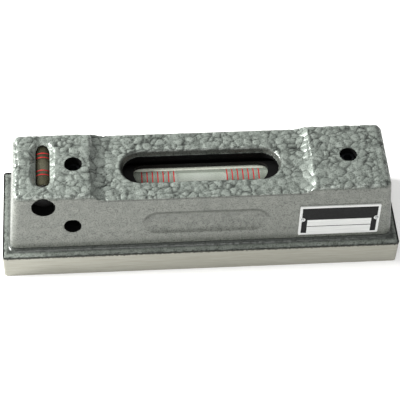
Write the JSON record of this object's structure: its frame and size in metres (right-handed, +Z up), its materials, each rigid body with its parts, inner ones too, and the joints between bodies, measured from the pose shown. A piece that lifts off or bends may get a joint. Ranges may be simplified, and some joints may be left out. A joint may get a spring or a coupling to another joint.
{
  "type": "precision machinist level",
  "caption": "Cast iron machinist level with a V-grooved ground sole, a long main vial in an adjustable carrier, and a small cross vial under a bevelled window.",
  "frame": {"origin": "centre of the rectangle of the sole, on the plane that the level stands on", "axes": "+X along the level, towards the type plate; +Z up; the front face with the type plate looks towards -Y"},
  "size_m": [0.15, 0.042, 0.0395],
  "materials": {
    "hammered_paint": "hammertone paint on cast iron, grey green",
    "plate": "etched aluminium plate, black and white fields",
    "rivet": "bright",
    "glass": "clear ground glass",
    "spirit": "clear yellowish spirit",
    "air": "bubble",
    "red_enamel": "red fired enamel",
    "plaster": "white plaster",
    "khaki_plaster": "dull yellowish plaster",
    "black_tube": "matt black",
    "turned_steel": "turned steel",
    "dark_steel": "blackened steel",
    "brass": "turned brass",
    "black_wax": "black sealing compound"
  },
  "bodies": {
    "casting": {"body_casting": "hammered_paint", "type_plate": "plate", "plate_rivets": "rivet", "cross_vial_glass": "glass", "cross_vial_liquid": "spirit", "cross_vial_scale": "red_enamel", "cross_vial_bed": "khaki_plaster", "cross_vial_plug": "black_wax", "pivot_screw": "dark_steel", "front_lateral_screw": "dark_steel", "rear_lateral_screw": "dark_steel", "disc_springs": "turned_steel", "pivot_ball": "turned_steel", "bore_end_plug": "dark_steel"},
    "carrier": {"carrier_tube": "black_tube", "left_carrier_head": "turned_steel", "right_carrier_head": "turned_steel", "left_vial_packing": "plaster", "right_vial_packing": "plaster", "main_vial_glass": "glass", "main_vial_liquid": "spirit", "main_vial_scale": "red_enamel", "main_vial_bed": "plaster", "thrust_pad": "brass"},
    "main_bubble": {"main_vial_bubble": "air"},
    "cross_bubble": {"cross_vial_bubble": "air"},
    "adjuster": {"adjusting_screw": "dark_steel"}
  },
  "joints": [
    {"name": "carrier_tilt", "type": "hinge", "parent": "casting", "child": "carrier", "pos_m": [0.055, 0, 0.0156], "axis": [0, 1, 0], "range_deg": [-0.25, 0.25]},
    {"name": "adjusting_screw_turn", "type": "hinge", "parent": "carrier", "child": "adjuster", "pos_m": [-0.0474, 0, 0.033], "axis": [0, 0, 1], "range_deg": [-216, 216]},
    {"name": "main_bubble_run", "type": "slide", "parent": "carrier", "child": "main_bubble", "axis": [1, 0, 0], "range_m": [-0.015, 0.015], "stiffness_N_per_m": 0.5},
    {"name": "cross_bubble_run", "type": "slide", "parent": "casting", "child": "cross_bubble", "axis": [0, 1, 0], "range_m": [-0.0045, 0.0045], "stiffness_N_per_m": 0.5}
  ],
  "couplings": [
    {"joint": "adjusting_screw_turn", "follows": "carrier_tilt", "ratio": 857.86}
  ]
}
